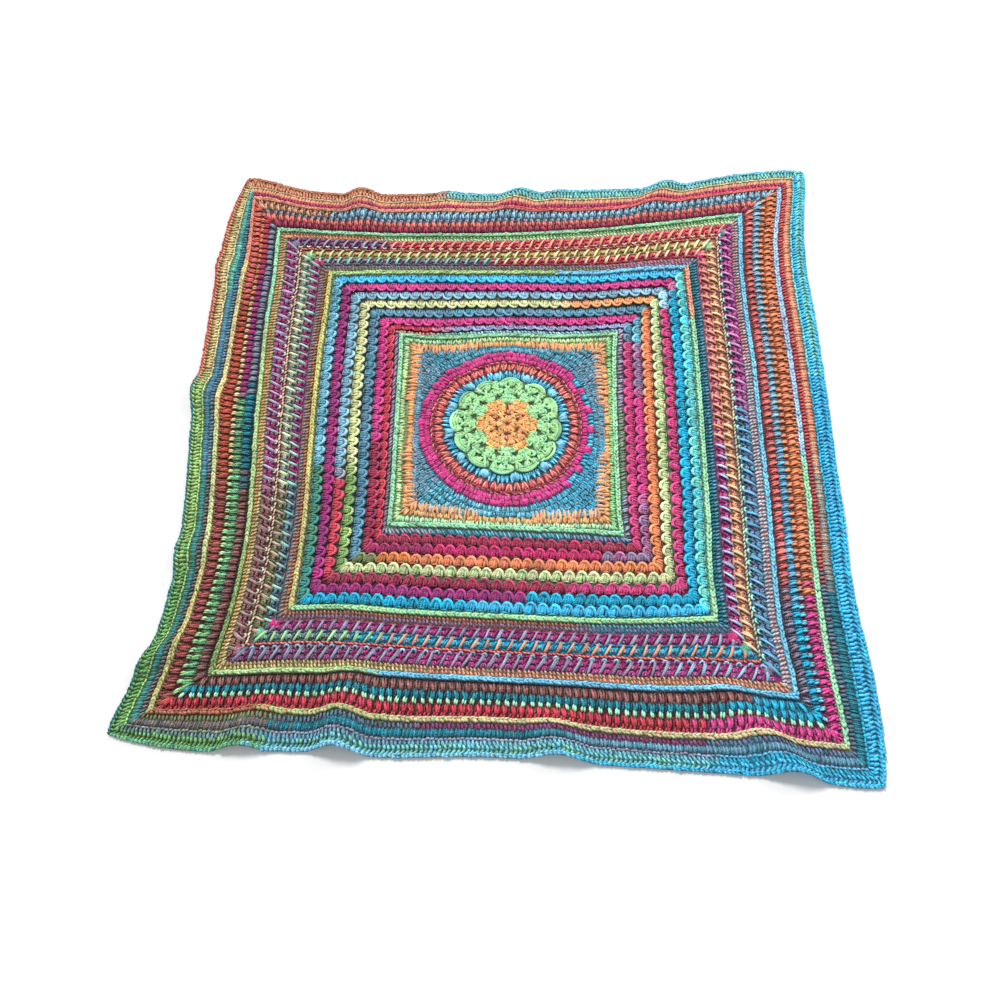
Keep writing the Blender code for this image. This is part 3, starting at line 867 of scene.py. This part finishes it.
ground_stitch = [
    strand((4.4, 3.6, 4.4, 1.3), (5.8, 2.0, 7.0, 1.9), (7.2, 3.8, 4.4, 1.3), steps=3, yarn=1, tone=1.15),
    strand(
        (2.2, 8.8, 2.8, 1.4), (1.6, 2.6, 5.4, 2.1), (5.4, -1.6, 6.2, 2.3),
        (9.4, 1.6, 5.2, 2.1), (9.2, 8.2, 2.8, 1.4), steps=6, tone=1.1,
    ),
    strand((-9.8, 6.4, 2.8, 1.4), (-7.4, -0.8, 5.0, 2.2), (-3.0, -6.4, 2.8, 1.5), tone=0.8),
    strand((-7.0, -9.0, 3.0, 1.5), (2.0, -8.6, 5.0, 2.2), (11.0, -7.6, 3.0, 1.5), tone=0.9),
]
bobble = puff(8.0, 9.0, 9.0, 7)
SLANT_PITCH = 20.0
for row in SLANT_ROUNDS:
    stretched = [Strand(one.run * (row.length, row.length, 1, 1), one.tone, one.yarn) for one in slant]
    slanted.round(stretched, row.middle, SLANT_PITCH, (row.grounds, row.slants))
    slanted.ring(bobble, (row.middle - 7) * math.sqrt(2), 4, 45, all_round(row.corner))
    for reach in (-0.5,) if row.length == 1.0 else (-4.0, 6.0):
        slanted.round(moved(ground_stitch, out=reach), row.middle, SLANT_PITCH, (row.grounds, row.slants))

LINE = (("coral+salmon", "palegreen+tan", "tan+rust", "tan+cream"),)
line_stitch = [strand((-3.6, -1.6, 3.8, 1.3), (0, 0, 5.8, 1.8), (3.6, 1.6, 3.8, 1.3))]
slanted.round(line_stitch, 424.0, 7.0, LINE)
LOOPS = (("lightblue+bluegrey", "lightblue+mint", "grey+cream", "bluegrey+cream"),)
loop = [
    strand(
        (2.4, 3.4, 3.0, 1.3), (3.2, -1.0, 6.4, 1.8), (6.4, -3.0, 7.0, 1.9),
        (9.4, -0.6, 6.0, 1.8), (8.8, 3.6, 3.0, 1.3), steps=7, tone=1.1,
    ),
]
slanted.round(loop, 431.0, SLANT_PITCH, LOOPS, count=round(2 * SLANT_ROUNDS[-1].middle / SLANT_PITCH))
SECOND_SC = (
    (
        "yellow+brown -0.3 brown+tan", "salmon+lightblue 0.3 salmon+grey",
        "cream+palegreen 0.55 tan+orange", "tan+lime",
    ),
    ("tan+lime -0.3 tan+salmon", "lightblue+salmon", "deepgreen+green 0.55 rust+brown", "orange+tan"),
)
slanted.round(moved(slanting_sc, out=-1.0), 462.5, 6.8, SECOND_SC)
pieces.append(slanted.made("slanted_rounds"))


# The ribs
# Posts worked round the front of posts stand up as ribs, square to the hem. The yarn runs
# through four colours from the inner end of a rib to its outer end, with pale tips between.

ribs = Crochet(looseness=1.5)
RIBS_PER_SIDE = 80
RIBS_OUTER = 541.0
RIB_PITCH = 2 * RIBS_OUTER / RIBS_PER_SIDE
RibRow = namedtuple("RibRow", "middle near right far left")
first_row = RibRow(
    493.0, "maroon+brown 0.85 teal+cyan", "maroon+bluegrey -0.6 crimson+salmon",
    "crimson+maroon", "bluegrey+grey -0.15 darkteal+teal 0.25 maroon+brown",
)
second_row = RibRow(
    508.0, "darkteal+teal 0.7 cyan+teal", "teal+cyan -0.6 bluegrey+sky -0.1 lightblue+bluegrey",
    "coral+salmon", "coral+crimson -0.7 magenta+purple -0.13 darkteal+green",
)
tips = RibRow(
    519.5, "palegreen+mint", "lightblue+teal -0.6 orange+salmon", "grey+bluegrey",
    "salmon+orange -0.55 cream+yellow 0.2 palegreen+green",
)
last_row = RibRow(
    535.0, "crimson+red 0.62 magenta+pink", "magenta+pink -0.55 orange+salmon",
    "bluegrey+lightblue 0.7 brown+tan", "coral+salmon -0.5 red+rust 0.2 rust+maroon",
)
rib_length = [
    strand(
        (-3.2, -9.2, 3.0, 1.3), (-2.0, -3.6, 6.8, 2.0), (0.4, 3.0, 7.0, 2.1), (1.2, 9.0, 3.6, 1.4),
        steps=5, tone=1.15,
    ),
    strand(
        (1.0, -9.2, 3.0, 1.3), (2.6, -3.0, 6.2, 1.9), (3.4, 3.4, 6.2, 1.9), (3.9, 9.0, 3.4, 1.3),
        steps=5, tone=0.85,
    ),
    strand((-5.9, -8.8, 2.6, 1.3), (-5.4, 0, 3.9, 1.7), (-4.9, 8.6, 2.6, 1.3), tone=0.5),
]
tip = [
    strand((-1.0, -7.0, 4.4, 1.1), (-0.4, -1.2, 7.6, 1.9), (0.6, 5.2, 4.2, 1.3), steps=5, tone=1.2),
    strand((2.6, -5.0, 4.0, 1.1), (3.2, 0.4, 6.8, 1.7), (4.2, 5.6, 3.6, 1.2)),
]
last_length = moved(rib_length, out=-2.0) + [
    strand((-2.6, 3.0, 3.0, 1.4), (-2.9, 8.0, 5.6, 2.0), (-3.4, 12.8, 3.0, 1.3)),
    strand((2.0, 4.0, 3.0, 1.4), (1.8, 9.0, 5.6, 2.0), (1.6, 13.0, 3.0, 1.3), tone=0.9),
]


def ribbed(strands, row):
    """Works one row of the ribs; a row has only the ribs that reach it at the mitres."""
    count = 2 * round(row.middle / RIB_PITCH)
    half = count * RIB_PITCH / 2
    ribs.round(moved(strands, out=row.middle - half), half, RIB_PITCH, (charts_of(row),), count=count)


ribbed(rib_length, first_row)
ribbed(rib_length, second_row)
ribbed(last_length, last_row)
ribbed(tip, tips)
pieces.append(ribs.made("ribs"))


# The ridges
# Four raised cords frame the bands: rounds worked through the back loops only, so that the
# tops of the stitches before them stand up as a thick braided chain.

ridges = Crochet(looseness=1.4)
RidgeRound = namedtuple("RidgeRound", "half near right far left")
RIDGE_ROUNDS = (
    RidgeRound(203.0, "palegreen+mint", "mint+palegreen", "mint+palegreen", "palegreen+mint"),
    RidgeRound(
        358.0, "lime+mint", "mint+palegreen 0.66 tan+salmon",
        "sky+lightblue -0.3 palegreen+lime", "lime+yellow 0.3 tan+lime",
    ),
    RidgeRound(
        475.0, "lime+palegreen -0.42 lightblue+sky", "lightblue+sky",
        "mint+palegreen", "palegreen+mint -0.5 palegreen+lime 0.5 lime+deepgreen",
    ),
    RidgeRound(
        551.0, "brown+rust -0.65 tan+green -0.3 palegreen+tan", "palegreen+mint -0.12 lilac+lightblue",
        "salmon+coral 0.0 salmon+tan", "tan+salmon -0.7 cream+yellow 0.0 cream+lime 0.5 tan+lime",
    ),
)
braid = [
    strand((-2.0, 0.6, 6.4, 1.6), (2.0, -2.0, 7.8, 2.2), (7.2, -3.0, 5.8, 1.5)),
    strand((-2.0, -0.6, 6.4, 1.6), (2.0, 2.0, 7.8, 2.2), (7.2, 3.0, 5.8, 1.5), tone=0.9),
    strand((-1.0, -6.4, 2.8, 1.3), (0, -2.0, 4.8, 2.0), (0.6, 2.6, 2.8, 1.3), steps=3, tone=0.75),
]
for row in RIDGE_ROUNDS:
    ridges.round(braid, row.half, 6.8, (charts_of(row),))
pieces.append(ridges.made("ridges"))


# The hem
# Plain rounds in the long colours of the yarn end in a round of tall stitches and a last
# chain. They ripple, because their stitches are more than the edge has room for.

hem = Crochet(looseness=1.4)
short_post = [strand((-2.4, -4.4, 3.0, 1.4), (0, 0, 5.6, 2.1), (2.2, 4.4, 3.0, 1.4))]
upright = [
    strand((-1.8, -6.4, 2.8, 1.3), (-0.8, -1, 5.4, 2.0), (0.2, 6.2, 3.0, 1.4)),
    strand((1.6, -6.0, 2.8, 1.2), (2.2, -1, 4.6, 1.8), (2.8, 5.8, 2.8, 1.3), steps=3, tone=0.8),
]
small_chain = [strand((-2.8, 1.0, 3.4, 1.3), (0.6, -0.8, 5.2, 1.7), (4.4, 1.0, 3.4, 1.2))]
tall_stitch = [
    strand((-3.6, -6.6, 2.8, 1.3), (-0.6, -4.0, 5.4, 2.0), (2.4, -0.2, 6.0, 1.8)),
    strand((-3.6, 6.2, 2.8, 1.3), (-0.6, 3.8, 5.2, 2.0), (2.4, 0.2, 6.0, 1.8), tone=0.9),
]
last_chain = [
    strand((-1.2, 0.8, 4.0, 1.3), (2.0, -1.3, 5.6, 1.9), (6.6, -1.7, 4.0, 1.3), steps=3),
    strand((-1.2, -0.8, 4.0, 1.3), (2.0, 1.3, 5.6, 1.9), (6.6, 1.7, 4.0, 1.3), steps=3, tone=0.85),
]
# The web under a round of the hem ends at the round's outer half size.
HemRound = namedtuple("HemRound", "stitches middle pitch outer near right far left")
HEM_ROUNDS = (
    HemRound(
        short_post, 560.5, 6.8, 564,
        "brown+deepgreen -0.6 maroon+teal -0.2 maroon+purple 0.6 purple+teal",
        "maroon+teal -0.5 rust+crimson", "crimson+magenta",
        "teal+bluegrey -0.5 teal+grey 0.2 darkteal+brown",
    ),
    HemRound(
        upright, 569.5, 6.4, 575,
        "darkteal+brown -0.6 darkteal+teal 0.2 teal+bluegrey", "teal+darkteal -0.5 teal+tan -0.1 salmon+tan",
        "salmon+tan", "teal+mint -0.5 bluegrey+teal 0.2 deepgreen+teal",
    ),
    HemRound(
        small_chain, 577.5, 6.8, 580,
        "deepgreen+grey -0.6 bluegrey+grey 0.6 cyan+bluegrey", "teal+cyan 0.2 cyan+mint",
        "yellow+cream", "yellow+cream -0.13 green+lime",
    ),
    HemRound(
        short_post, 582.5, 6.6, 586,
        "deepgreen+bluegrey -0.6 teal+bluegrey -0.2 lightblue+teal 0.6 cyan+teal", "cyan+sky",
        "mint+grey 0.27 tan+salmon", "yellow+cream -0.13 green+lime 0.4 green+deepgreen",
    ),
    HemRound(
        tall_stitch, 590.5, 7.2, 595.5,
        "green+deepgreen -0.6 green+sky 0.55 cyan+sky", "cyan+sky 0.2 sky+mint",
        "sky+mint 0.27 tan+rust", "yellow+tan -0.13 green+lime 0.5 deepgreen+green",
    ),
    HemRound(
        last_chain, 597.2, 6.8, 600,
        "teal+green -0.6 sky+lightblue 0.2 cyan+sky", "sky+cyan",
        "sky+lightblue 0.27 tan+rust", "rust+coral -0.13 deepgreen+teal",
    ),
)
for row in HEM_ROUNDS:
    hem.round(row.stitches, row.middle, row.pitch, (charts_of(row),))
pieces.append(hem.made("hem_rounds"))


# The web
# Under the stitches that show lies the rest of each round: a thin web of yarn, with a gap
# through it wherever the stitches part. It is the sheet that the afghan is, and lies on the
# floor. Its upper face is painted dark as the shade between the stitches, and the walls of its
# gaps and edges near black as painted shade; its lower face is the plain back.

WEB_LOW = 0.3
WEB_HIGH = 2.8
# Painted shade: between the stitches the web's upper face is painted at a small share of its yarn's colour,
# least under the clusters, the ribs and the blue flower round; its back keeps more of it.
DEEP_PAINTED_SHADE, SOFT_PAINTED_SHADE, BACK = 0.15, 0.38, 0.70  # how light the web is between stitches and at the back
Ring = namedtuple("Ring", "radius count first_angle size")
GAP_RINGS = (
    Ring(20, 6, 30, 6.2), Ring(63, 12, 15, 6.2), Ring(80, 24, 7, 5.2), Ring(141, 24, 4, 5.6),
)
GapRow = namedtuple("GapRow", "half per_side size")
GAP_ROWS = (GapRow(279, 28, 5.2), GapRow(297, 28, 5.2))
CORNER_GAPS = (176, 191)
CORNER_GAP_SIZE = 5.6

# Each band of the web ends at this half size, in the yarn of the round over it.
WebBand = namedtuple("WebBand", "outer points shade charts")
WEB_BANDS = [
    WebBand(197, 30, SOFT_PAINTED_SHADE, PALE_SC[0]),
    WebBand(210, 30, SOFT_PAINTED_SHADE, charts_of(RIDGE_ROUNDS[0])),
    WebBand(221, 40, SOFT_PAINTED_SHADE, GREY_BLUE[0]),
]
for outer, row in zip((238.5, 257, 283.5, 301.5, 315, 333, 351), CLUSTER_ROUNDS):
    WEB_BANDS.append(WebBand(outer, 50, DEEP_PAINTED_SHADE, charts_of(row)))
WEB_BANDS.append(WebBand(363, 60, SOFT_PAINTED_SHADE, charts_of(RIDGE_ROUNDS[1])))
WEB_BANDS.append(WebBand(380, 60, SOFT_PAINTED_SHADE, FIRST_SC[0]))
for outer, row in zip((400, 420, 456), SLANT_ROUNDS):
    WEB_BANDS.append(WebBand(outer, 60, SOFT_PAINTED_SHADE, row.grounds))
WEB_BANDS.append(WebBand(470, 60, SOFT_PAINTED_SHADE, SECOND_SC[0]))
WEB_BANDS.append(WebBand(480, 80, SOFT_PAINTED_SHADE, charts_of(RIDGE_ROUNDS[2])))
for outer, row in zip((501, 517, 546), (first_row, second_row, last_row)):
    WEB_BANDS.append(WebBand(outer, 80, DEEP_PAINTED_SHADE, charts_of(row)))
WEB_BANDS.append(WebBand(557, 80, SOFT_PAINTED_SHADE, charts_of(RIDGE_ROUNDS[3])))
for row in HEM_ROUNDS:
    WEB_BANDS.append(WebBand(row.outer, 80, SOFT_PAINTED_SHADE, charts_of(row)))
FlowerBand = namedtuple("FlowerBand", "outer shade yarn")
FLOWER_BANDS = (
    FlowerBand(54, SOFT_PAINTED_SHADE, "orange+rust"), FlowerBand(100, SOFT_PAINTED_SHADE, "green+deepgreen"),
    FlowerBand(118, DEEP_PAINTED_SHADE, "teal"), FlowerBand(138, SOFT_PAINTED_SHADE, "crimson+maroon"),
    FlowerBand(152, SOFT_PAINTED_SHADE, "magenta"),
)
TEAL_OUTER, ORANGE_OUTER = 166, 184  # the half sizes at which the teal and the orange web end


def gap(centre, size, heading):
    """The three corners of a gap, one of which points along the heading."""
    radius = size / math.sqrt(3)
    angles = heading + np.arange(3) * math.tau / 3
    return np.array(centre) + radius * np.stack((np.cos(angles), np.sin(angles)), axis=-1)


def gaps():
    """Every gap in the web."""
    found = []
    for ring in GAP_RINGS:
        for k in range(ring.count):
            heading = math.radians(ring.first_angle) + k * math.tau / ring.count
            centre = (ring.radius * math.cos(heading), ring.radius * math.sin(heading))
            found.append(gap(centre, ring.size, heading))
    for side in SIDES:
        for row in GAP_ROWS:
            for k in range(row.per_side):
                along = 2 * row.half / row.per_side * (k + 0.5) - row.half
                centre = turned(np.array((along, -row.half)), side)
                found.append(gap(centre, row.size, side * QUARTER - QUARTER))
        for reach in CORNER_GAPS:
            centre = turned(np.array((reach, -reach)), side)
            found.append(gap(centre, CORNER_GAP_SIZE, side * QUARTER - QUARTER / 2))
    return found


def web_yarn(spot):
    """The web's yarn at a spot: the chart, the place along its side and how dark its painted shade is."""
    u, v = spot
    half = max(abs(u), abs(v))
    side = 0 if -v >= abs(u) else 1 if u >= abs(v) else 2 if v >= abs(u) else 3
    place = (u, v, -u, -v)[side] / half
    radius = math.hypot(u, v)
    for band in FLOWER_BANDS:
        if radius < band.outer:
            return band.yarn, place, band.shade
    if half < TEAL_OUTER:
        return "teal", place, SOFT_PAINTED_SHADE
    if half < ORANGE_OUTER:
        return "orange", place, SOFT_PAINTED_SHADE
    for band in WEB_BANDS:
        if half < band.outer + 0.01:
            break
    return band.charts[side], place, band.shade


points, lines = [], []


def draw_loop(loop):
    """Draws a closed line on the web."""
    first, number = len(points), len(loop)
    points.extend(Vector(point) for point in loop)
    lines.extend((first + i, first + (i + 1) % number) for i in range(number))
    return first


cut = {frozenset(range(first, first + 3)) for first in (draw_loop(corners) for corners in gaps())}
for band in FLOWER_BANDS:
    angles = np.arange(60) * math.tau / 60
    draw_loop(band.outer * np.stack((np.cos(angles), np.sin(angles)), axis=-1))
squares = [(TEAL_OUTER, 24), (ORANGE_OUTER, 24)] + [(band.outer, band.points) for band in WEB_BANDS]
for half, number in squares:
    steps = np.arange(number) * 2 * half / number - half
    near = np.stack((steps, 0 * steps - half), axis=-1)
    draw_loop(np.vstack([turned(near, side) for side in SIDES]))

drawn = delaunay_2d_cdt(points, lines, [], 1, 1e-4)
corner_points = np.array([tuple(point) for point in drawn[0]])
first_of = [origin[0] if origin else -1 for origin in drawn[3]]
faces = [face for face in drawn[2] if frozenset(first_of[i] for i in face) not in cut]
number = len(corner_points)
heights = np.repeat((WEB_HIGH, WEB_LOW), number)
web_spots = laid(MM * np.column_stack((np.vstack((corner_points, corner_points)), heights)))

edges = {}  # keeps the order in which the edges are met
for face in faces:
    for start, end in zip(face, (*face[1:], face[0])):
        edges[start, end] = True
walls = [(b, a, a + number, b + number) for a, b in edges if (b, a) not in edges]
web_faces = [tuple(face) for face in faces]
web_faces += [tuple(i + number for i in reversed(face)) for face in faces]
web_faces += walls

web_mesh = bpy.data.meshes.new("web")
web_mesh.from_pydata(web_spots.tolist(), [], web_faces)
yarns = [web_yarn(corner_points[list(face)].mean(axis=0)) for face in faces]
shades = np.array([shade for _, _, shade in yarns])[:, None]
mains, seconds = np.zeros((len(faces), 3)), np.zeros((len(faces), 3))
for chart in sorted({chart for chart, _, _ in yarns}):
    mine = np.array([one == chart for one, _, _ in yarns])
    mains[mine], seconds[mine] = dyed(chart, np.array([place for _, place, _ in yarns])[mine])
# Painted shade: the walls of the gaps and of the web's edge are painted near black, as the shade inside the
# gaps.
WALL_PAINTED_SHADE = (0.10, 0.16, 0.12)
edge_painted_shade = np.array([WALL_PAINTED_SHADE] * len(walls))
# The upper face gets its band's painted shade, the back a fixed share of the yarn's colour, and the walls
# near black as painted shade.
for title, dyes in (("DyeAndPaintedLight", mains), ("PlyAndPaintedLight", seconds)):
    corners = np.repeat(np.vstack((dyes * shades, dyes * BACK)), 3, axis=0)
    corners = np.vstack((corners, np.repeat(edge_painted_shade, 4, axis=0)))
    attribute = web_mesh.color_attributes.new(title, "FLOAT_COLOR", "CORNER")
    attribute.data.foreach_set("color", np.hstack((corners, np.ones((len(corners), 1)))).ravel())
web_mesh.uv_layers.new(name="UVMap")
web_mesh.materials.append(WOOL)
web = bpy.data.objects.new("web", web_mesh)
scene.collection.objects.link(web)
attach(web, "root")
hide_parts("afghan")
